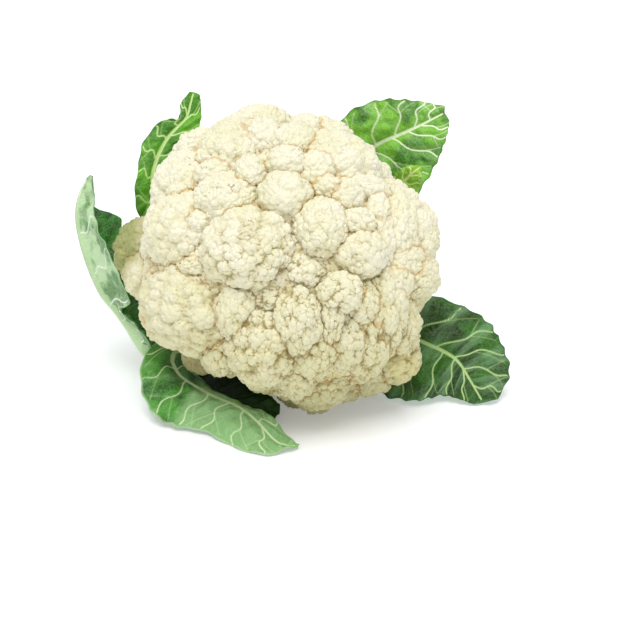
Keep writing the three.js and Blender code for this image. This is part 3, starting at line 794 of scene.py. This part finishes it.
def vein_lines(leaf):
    """The rib, the side veins and their forks: each a line of (u, s), its half width at both ends in
    millimetres, and how clearly it shows."""
    t = np.linspace(0, 1, 26)
    lines = [(t * RIB_END, np.zeros_like(t), *RIB)]
    veins = [(side, *ends) for side, pairs in leaf["veins"].items() for ends in pairs]
    for n, (side, start, end) in enumerate(veins):
        u = start + (end - start) * t ** 0.85 + VEIN_SWAY * np.sin(9 * t + 2 * n)
        s = side * (0.01 + VEIN_END * t)
        lines.append((u, s, *SIDE_VEIN))
        at = 10 + (n % 3) * 2
        for turn in (-1, 1):
            if turn == -1 and n % 2:
                continue
            r = np.linspace(0, 1, 16)
            parting = turn * FORK_TURN * r ** 0.9
            fork_u = u[at] + parting + (end - u[at]) * r * (0.45 if turn < 0 else 0.9)
            fork_s = s[at] + side * (FORK_END - abs(s[at])) * r
            lines.append((fork_u, fork_s, *FORK))
    return lines


def make_leaf(leaf, number):
    """A leaf blade from a flat grid: laid on its rails, notched along the margins, puffed between its
    veins and given its thickness, with the rib and veins standing out underneath."""
    random = np.random.default_rng(LEAF_SEED + number)
    blade = Blade(leaf)
    steps = np.linspace(0, 1, 60)
    length = norm(np.diff(rail(blade.lines[1], steps), axis=0), axis=1).sum()
    faces = 2 * int(blade.widest / LEAF_STEP / 2 + 1), int(length / LEAF_STEP)
    piece = flat_grid(leaf["name"] + "_blade", *faces)
    mesh = piece.data
    flat = corners_of(mesh)
    s, u = flat[:, 0].copy(), (flat[:, 1] + 1) / 2
    bite = np.abs(np.sin(np.pi * (13 * u + 0.3 * (s > 0)) + 1.5 * np.sin(7 * u + number)))
    tooth = TOOTH * bite ** 1.5 + SMALL_TOOTH * np.abs(np.sin(37 * u + s))
    tooth = tooth * leaf.get("teeth", 1)
    across = s * (1 - tooth * np.abs(s) ** 5 * smooth(*TEETH_START, u))
    point, normal, half = blade.at(u, across)

    nearest = np.full(len(u), np.inf)
    vein = np.zeros(len(u))
    for line_u, line_s, wide, narrow, clear in vein_lines(leaf):
        line = blade.at(line_u, line_s)[0]
        start, step = line[:-1], np.diff(line, axis=0)
        share = np.linspace(0, 1, len(step))
        offset = point[:, None, :] - start[None]
        t = np.clip((offset * step).sum(2) / np.maximum((step ** 2).sum(1), 1e-9), 0, 1)
        gap = norm(offset - t[..., None] * step, axis=2)
        best = gap.argmin(1)
        gap = gap[np.arange(len(gap)), best]
        width = wide + (narrow - wide) * share[best]
        vein = np.maximum(vein, clear * (1 - smooth(width / 2, width + VEIN_BLUR, gap)))
        nearest = np.minimum(nearest, gap - width)
    puffed = PUFF * smooth(0, PUFF_REACH, nearest)
    spread = np.stack([u * length, s * half], 1)
    spans = (0, math.pi), PUCKER_LENGTHS, (0, 6)
    for turn, size, start in zip(*[random.uniform(*span, PUCKERS) for span in spans]):
        ridge = np.sin(2 * math.pi * (spread @ [math.cos(turn), math.sin(turn)]) / size + start)
        puffed = puffed + PUCKER_HEIGHT * size * ridge * smooth(0.3, 3, nearest)
    puffed = puffed * smooth(*SMOOTH_FOOT, u) * (1 - 0.6 * np.abs(s) ** 6)

    lay_pattern(mesh, spread)
    give_values(mesh, {
        "vein": vein, "margin": np.abs(s), "along": u, "across": s, "half": half,
        "turned": u - leaf.get("skew", 0) * np.maximum(s, 0), "pillow": smooth(0, PILLOW_REACH, nearest),
    })
    place_corners(mesh, (point + normal * puffed[:, None]) * MM)

    solid = piece.modifiers.new("thickness", "SOLIDIFY")
    solid.thickness = BLADE_THICKNESS * MM
    solid.offset = -1
    pick(piece)
    bpy.ops.object.modifier_apply(modifier=solid.name)
    corners = corners_of(mesh) / MM
    under = np.arange(len(corners)) >= len(point)
    u, s, half, vein = (
        np.array([corner.value for corner in mesh.attributes[name].data])
        for name in ("along", "across", "half", "vein")
    )
    down = -blade.frame(u)[3]
    rib_half, rib_depth = (
        first + (last - first) * np.sqrt(u) for first, last in (KEEL_HALF_WIDTHS, KEEL_DEPTHS)
    )
    bulge = np.sqrt(np.maximum(1 - (np.abs(s) * half / rib_half) ** 2, 0)) * (rib_depth - BLADE_THICKNESS)
    corners = corners + down * (under * (bulge + VEIN_RELIEF * vein))[:, None]
    give_values(mesh, {
        "under": under, "vein": vein * np.where(under, 1, leaf.get("upper_veins", 1)),
        "keel": under * smooth(0, KEEL_EDGE, bulge),
    })
    settle(mesh, corners)
    bpy.ops.object.shade_smooth()
    cover(piece, leaf_skin(leaf))
    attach(piece, "root")
    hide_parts(leaf["name"])


# ---- the stalk
# Down the head's axis from its centre, and radius, from the crown side round to the cut end
STALK_PROFILE = [
    (24, 0), (24, 40), (30, 47), (36, 50), (42, 41), (50, 31), (60, 25.5), (70, 23.5), (80, 23),
    (90, 23.6), (96, 24.6), (98.6, 24.4), (99.6, 23.4), (99.4, 21), (98.8, 14), (98.4, 7), (98.6, 0),
]
STALK_RADIUS = 24
STALK_BRANCHES = 7
BRANCH_RELIEF = 0.1  # over the stem's radius, and where down the axis the branches run together
BRANCH_END = (36, 70)
STALK_CUT = (98, 98.8)
CUT_RIM = (17, 23)  # the cut turns brown out here, and a little over its pith
PITH_RADIUS = 9
# Feet of trimmed leaves: the way each points, in degrees on the face, and how far down the axis it starts
STUBS = [(100, 84), (60, 92), (0, 80), (-20, 93), (-75, 92), (-150, 94), (175, 92)]
STUB_LENGTH = 30.0
STUB_HALF_WIDTH = 12.0
STUB_HALF_DEPTH = 4.5
STUB_LEAN = math.radians(48)
STUB_OFFSET = 10.0
STUB_HOLLOW = 0.022
STUB_RADIUS = 9
STALK_MERGE = 0.00002  # metres


def tube(name, around, along, place):
    """A closed tube rolled from a flat grid. Place gives its points by turn round and share along it."""
    piece = flat_grid(name, around, along)
    flat = corners_of(piece.data)
    turn, share = flat[:, 0] * math.pi, (flat[:, 1] + 1) / 2
    points, values, spread = place(turn, share)
    give_values(piece.data, values)
    lay_pattern(piece.data, spread)
    settle(piece.data, points)
    merge_doubles(piece, STALK_MERGE, outward=True)
    return piece


def stem_surface(turn, share):
    """The stem: branches parting under the curd, scars of fallen leaves, and the cut end."""
    line = rail(STALK_PROFILE, share)
    down, radius = line[:, 0], np.maximum(line[:, 1], 0)
    parting = 1 - smooth(*BRANCH_END, down)
    branches = BRANCH_RELIEF * parting * np.cos(STALK_BRANCHES * turn)
    ridges = 0.012 * np.sin(23 * turn + 0.05 * down) + 0.02 * np.sin(5 * turn + 1)
    scars = 0.02 * np.sin(0.75 * down + 2 * turn) * smooth(60, 75, down) * (1 - smooth(94, 98, down))
    radius = radius * (1 + branches + (ridges + scars) * smooth(3, 15, radius))
    side = unit(np.cross(CROWN_AXIS, [0, 1, 0]))
    other = np.cross(side, CROWN_AXIS)
    outward = np.cos(turn)[:, None] * side + np.sin(turn)[:, None] * other
    points = outward * radius[:, None] - CROWN_AXIS * down[:, None]
    cut = smooth(*STALK_CUT, down) * (share > 0.5)
    browned_and_crevice_shade = cut * (smooth(*CUT_RIM, radius) * 0.8 + 0.35 * (radius < PITH_RADIUS))
    return points, {"cut": cut, "browned_and_crevice_shade": browned_and_crevice_shade}, np.stack([turn * STALK_RADIUS, down], 1)


def stub_surface(angle, down):
    """The foot of a trimmed leaf: thick, hollowed towards the stalk and cut off square."""
    outward = np.array([math.cos(math.radians(angle)), math.sin(math.radians(angle)), 0])
    outward = unit(outward - CROWN_AXIS * (outward @ CROWN_AXIS))
    aside = np.cross(CROWN_AXIS, outward)
    along = outward * math.sin(STUB_LEAN) + CROWN_AXIS * math.cos(STUB_LEAN)
    deep = np.cross(aside, along)
    root = -CROWN_AXIS * down + outward * STUB_OFFSET

    def place(turn, share):
        reach = np.clip((share - 0.1) / 0.75, 0, 1)
        scale = smooth(0, 0.1, share) * (1.12 - 0.12 * reach) * (1 - smooth(0.86, 1.0, share) ** 0.5)
        cap = smooth(0.85, 0.88, share)
        width = STUB_HALF_WIDTH * np.cos(turn) * scale
        hollow = STUB_HOLLOW * (STUB_HALF_WIDTH ** 2 / 2 - width ** 2)
        fibres = 0.12 * np.sin(11 * turn) * (1 - cap)
        depth = (STUB_HALF_DEPTH + fibres) * np.sin(turn) * scale + hollow * scale
        points = root + along * (reach * STUB_LENGTH)[:, None]
        points = points + aside * width[:, None] + deep * depth[:, None]
        edge = cap * smooth(0.7, 0.95, scale)
        spread = np.stack([turn * STUB_RADIUS, reach * STUB_LENGTH], 1)
        return points, {"cut": cap, "browned_and_crevice_shade": edge}, spread

    return place


def make_stalk():
    """The stem with the stubs round it, as one piece."""
    pieces = [tube("stem", 112, 96, stem_surface)]
    for number, (angle, down) in enumerate(STUBS):
        pieces.append(tube("stub_%d" % number, 44, 32, stub_surface(angle, down)))
    whole = joined("stalk_stem", pieces)
    cover(whole, stalk_flesh())
    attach(whole, "root")
    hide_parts("stalk")


# ---- materials
def feed(tree, made, inputs):
    """Gives a node's inputs, by name or number, a value or another node's output."""
    for key, value in inputs.items():
        if isinstance(value, bpy.types.NodeSocket):
            tree.links.new(value, made.inputs[key])
        else:
            made.inputs[key].default_value = value


def node(tree, kind, inputs, out=0, **settings):
    """Adds a shader node with its settings and what it is fed, and gives one of its outputs."""
    made = tree.nodes.new("ShaderNode" + kind)
    for key, value in settings.items():
        setattr(made, key, value)
    feed(tree, made, inputs)
    return made.outputs[out]


def new_material(name):
    material = bpy.data.materials.new(name)
    material.use_nodes = True
    tree = material.node_tree
    return material, tree, tree.nodes["Principled BSDF"]


def painted(tree, colour, coats):
    """A colour with coats painted over it. Each coat is a mesh attribute's name or a node's output, the
    value at which the coat starts, the one at which it is full, how strong it is, and its colour."""
    colour = linear(colour)
    for source, start, full, strength, paint in coats:
        if isinstance(source, str):
            source = node(tree, "Attribute", {}, "Fac", attribute_name=source)
        share = node(tree, "MapRange", {0: source, 1: start, 2: full, 4: strength},
                     interpolation_type="SMOOTHSTEP")
        colour = node(tree, "Mix", {0: share, 6: colour, 7: linear(paint)}, 2, data_type="RGBA")
    return colour


# Sizes of the patterns, as how many there are in a metre, or in a millimetre of the UV map
GRANULES = 560  # 1.8 mm wide
BLOTCHES = 60  # 17 mm
SPECKLES = 130  # 8 mm
LEAF_PATCHES = 70  # 14 mm
VEIN_NET = 0.22  # meshes of 4.5 mm
FINE_NET = 0.6  # and of 1.7 mm
NET_DRIFT = 0.15  # both are bent by this, over 7 mm
NET_BEND = 7.0
WAX_STREAKS = (0.13, 0.035, 1)  # streaks of the waxy coat with painted sheen, 8 by 29 mm, across the leaf
FIBRES = (1.6, 0.12, 1)  # 0.6 by 8 mm, along the stalk


def curd_flesh():
    """Cauliflower curd: dense cream flesh, matt and finely granular, with a yellow stain and painted
    shade: in the creases and recesses, as dots between granules, warm orange and brown down in the
    crevices, greenish by the left leaf, and darker towards the bottom and under the lower left."""
    material, tree, shader = new_material("curd_flesh")
    place = node(tree, "TexCoord", {}, "Object")
    height = node(tree, "SeparateXYZ", {0: place}, 2)
    blotch, speckle = (
        node(tree, "TexNoise", {"Vector": place, "Scale": scale, "Detail": 2})
        for scale in (BLOTCHES, SPECKLES)
    )
    granule = {"Vector": place, "Scale": GRANULES, "Randomness": 0.95}
    bud = node(tree, "TexVoronoi", granule)
    gap = node(tree, "TexVoronoi", granule, feature="DISTANCE_TO_EDGE")
    sunk, deep, crevice = (
        node(tree, "Attribute", {}, "Fac", attribute_name=name) for name in ("sunk", "deep", "crevice")
    )
    # Dots of painted shade between the granules, more down in recesses, and patchy painted shade, warm and
    # brown, down in the crevices
    pits = node(tree, "Math", {0: speckle, 1: 0.7, 2: bud}, operation="MULTIPLY_ADD")
    dots = node(tree, "Math", {0: sunk, 1: 0.38, 2: pits}, operation="MULTIPLY_ADD")
    browned_and_crevice_shade, painted_crevice_warmth = (
        node(tree, "Math", {0: where, 1: blotch}, operation="MULTIPLY") for where in (deep, crevice)
    )
    colour = painted(tree, "#efecd6", [
        (blotch, 0.35, 0.65, 0.7, "#e8e5c2"),
        # painted shade, darker towards the bottom and darkest just above the table
        (height, 0.115, 0.03, 0.65, "#cbc893"),
        (height, 0.04, 0.0, 0.8, "#7b773f"),
        ("stain", 0, 1, 0.3, "#d6ca70"),
        # painted greenish shade by the left leaf
        ("painted_green_shade", 0, 0.6, 0.8, "#b4b07c"),
        ("painted_green_shade", 0.6, 1, 0.7, "#84944f"),
        # painted shade under the lower left
        ("painted_shade_low_left", 0, 1, 0.8, "#7d7844"),
        # painted shade in the creases, low down, between granules and in recesses, then warm in the
        # crevices, in dots, and brown deep in the crevices
        ("crease", 0.1, 0.8, 0.7, "#c8b97c"),
        ("shadowed", 0.25, 0.85, 0.8, "#8c7b42"),
        (gap, 0.1, 0.0, 0.2, "#cdb981"),
        (sunk, 0.45, 1.0, 0.35, "#d2be88"),
        (painted_crevice_warmth, 0.15, 0.47, 0.62, "#d5aa68"),
        (dots, 1.24, 1.4, 0.65, "#8f7038"),
        (browned_and_crevice_shade, 0.22, 0.45, 0.7, "#a0763a"),
        (browned_and_crevice_shade, 0.42, 0.6, 0.7, "#654a20"),
    ])
    bump = node(tree, "Bump", {"Height": bud, "Strength": 0.8, "Distance": 0.0007}, invert=True)
    feed(tree, shader, {
        "Base Color": colour, "Normal": bump, "Roughness": 0.62, "Specular IOR Level": 0.3,
        "Subsurface Weight": 0.15, "Subsurface Radius": (1.0, 0.85, 0.45), "Subsurface Scale": 0.0012,
    })
    return material


def leaf_skin(leaf):
    """Cabbage leaf: a waxy green skin with pale veins, painted light near them, a bluish waxy coat with
    painted sheen in streaks, and a paler underside.
    """
    look = {**LEAF_LOOK, **leaf}
    light, dark, wax_and_sheen, tip, pale, shade, veined = look["tints"]
    material, tree, shader = new_material(leaf["name"] + "_skin")
    spread = node(tree, "UVMap", {})
    place = node(tree, "TexCoord", {}, "Object")
    patch = node(tree, "TexNoise", {"Vector": place, "Scale": LEAF_PATCHES, "Detail": 3})
    drift = node(tree, "TexNoise", {"Vector": spread, "Scale": NET_DRIFT, "Detail": 2}, "Color")
    bent = node(tree, "VectorMath", {0: drift, 3: NET_BEND}, operation="SCALE")
    wander = node(tree, "VectorMath", {0: spread, 1: bent}, operation="ADD")
    streaks = node(tree, "Mapping", {"Vector": spread, "Scale": WAX_STREAKS})
    bloom_and_sheen = node(tree, "TexNoise", {"Vector": streaks, "Scale": 1, "Detail": 2})
    net, mesh = (
        node(tree, "TexVoronoi", {"Vector": wander, "Scale": scale}, feature="DISTANCE_TO_EDGE")
        for scale in (VEIN_NET, FINE_NET)
    )
    under = node(tree, "Attribute", {}, "Fac", attribute_name="under")
    mottled = node(tree, "Math", {0: under, 1: patch}, operation="MULTIPLY")
    colour = painted(tree, dark, [
        (patch, 0.4, 0.6, 0.95, light),
        # painted light: lighter near the veins, for the shading of the puffed blade
        ("pillow", 1.0, 0.2, 0.2, light),
        # a waxy coat with painted sheen, in streaks
        (bloom_and_sheen, 0.42, 0.66, look["bloom_and_sheen"], wax_and_sheen),
        # the tip's tint, which on two leaves is painted light
        ("turned", *look["turn"], tip),
        (under, 0.4, 0.6, 1, pale),
        (mottled, 0.42, 0.56, 0.85, shade),
        (mesh, 0.16, 0.0, 0.1, veined),
        (net, 0.06, 0.0, look["net"], veined),
        ("margin", 0.93, 1.0, *look["edge"]),
        ("vein", 0.05, 0.9, 1, veined),
        ("keel", 0.3, 1, 0.8, look["keel"]),
    ])
    height = node(tree, "Math", {0: net, 1: mesh}, operation="ADD")
    bump = node(tree, "Bump", {"Height": height, "Strength": 0.6, "Distance": 0.0006})
    feed(tree, shader, {
        "Base Color": colour, "Normal": bump, "Roughness": 0.5, "Specular IOR Level": 0.3,
    })
    return material


def stalk_flesh():
    """Cut cabbage stalk: a pale green, fibrous rind, and cream flesh gone a little brown round the cut."""
    material, tree, shader = new_material("stalk_flesh")
    spread = node(tree, "UVMap", {})
    place = node(tree, "TexCoord", {}, "Object")
    along = node(tree, "Mapping", {"Vector": spread, "Scale": FIBRES})
    fibre = node(tree, "TexNoise", {"Vector": along, "Scale": 1, "Detail": 4})
    patch = node(tree, "TexNoise", {"Vector": place, "Scale": BLOTCHES, "Detail": 3})
    colour = painted(tree, "#d9dfb4", [
        (patch, 0.35, 0.7, 0.8, "#bfcf94"),
        (fibre, 0.45, 0.75, 0.5, "#9fb673"),
        ("cut", 0.3, 0.7, 1, "#ebe6cb"),
        ("browned_and_crevice_shade", 0.2, 1, 0.75, "#a9854e"),
    ])
    bump = node(tree, "Bump", {"Height": fibre, "Strength": 0.4, "Distance": 0.0008})
    feed(tree, shader, {
        "Base Color": colour, "Normal": bump, "Roughness": 0.55, "Specular IOR Level": 0.35,
    })
    return material


# ---- the stage
FLOOR_SIZE = 8  # metres, as the two below
FLOOR_DROP = 0.0002
CAMERA_DISTANCE = 1.1
AIM = (16, -30)  # millimetres across and up from the head's centre, where the camera looks
SENSOR_WIDTH = 36
FOCAL_LENGTH = 123.75
FLOOR_GLOW = 0.22
SKY_STRENGTH = 0.62
LIGHT_STRENGTH = 2.0
LIGHT_SPREAD = math.radians(45)
LIGHT_FROM = (-0.04, -0.35, 1)
WHITE = (1, 1, 1, 1)


def turned_to(holder, way):
    """Turns a light or a camera to look back along a way."""
    holder.rotation_euler = Vector(way).to_track_quat("Z", "Y").to_euler()


def make_stage():
    """A white table, a white sky, and one broad soft light from above and a little in front."""
    clear_selection()
    bpy.ops.mesh.primitive_plane_add(size=FLOOR_SIZE, location=(0, 0, -FLOOR_DROP))
    floor = active()
    floor.name = "table_top"
    material, tree, shader = new_material("white_table")
    feed(tree, shader, {
        "Base Color": (0.87, 0.88, 0.9, 1), "Emission Color": WHITE, "Emission Strength": FLOOR_GLOW,
        "Roughness": 0.6, "Specular IOR Level": 0.2,
    })
    floor.data.materials.append(material)

    world = bpy.data.worlds.new("studio")
    bpy.context.scene.world = world
    world.use_nodes = True
    sky = world.node_tree.nodes["Background"]
    feed(world.node_tree, sky, {"Color": WHITE, "Strength": SKY_STRENGTH})

    light = bpy.data.lights.new("overhead_softbox", "SUN")
    light.energy = LIGHT_STRENGTH
    light.angle = LIGHT_SPREAD
    turned_to(added("overhead_softbox", light), LIGHT_FROM)


def make_camera():
    """The camera, which looks straight at the face."""
    right, up, out = TURN.T
    aim = to_part(np.array([[0, 0, 0]]))[0] + (AIM[0] * right + AIM[1] * up) * MM
    camera = added("camera", bpy.data.cameras.new("camera"))
    camera.data.sensor_width = SENSOR_WIDTH
    camera.data.lens = FOCAL_LENGTH
    camera.location = aim + out * CAMERA_DISTANCE
    turned_to(camera, out)
    bpy.context.scene.camera = camera


# ---- all of it
flesh = curd_flesh()
for piece in make_curd():
    cover(piece, flesh)
    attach(piece, "root")
    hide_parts("curd")

make_stalk()
for number, leaf in enumerate(LEAVES):
    make_leaf(leaf, number)

make_stage()
make_camera()
scene = bpy.context.scene
scene.view_settings.view_transform = "Standard"
scene.view_settings.look = "None"
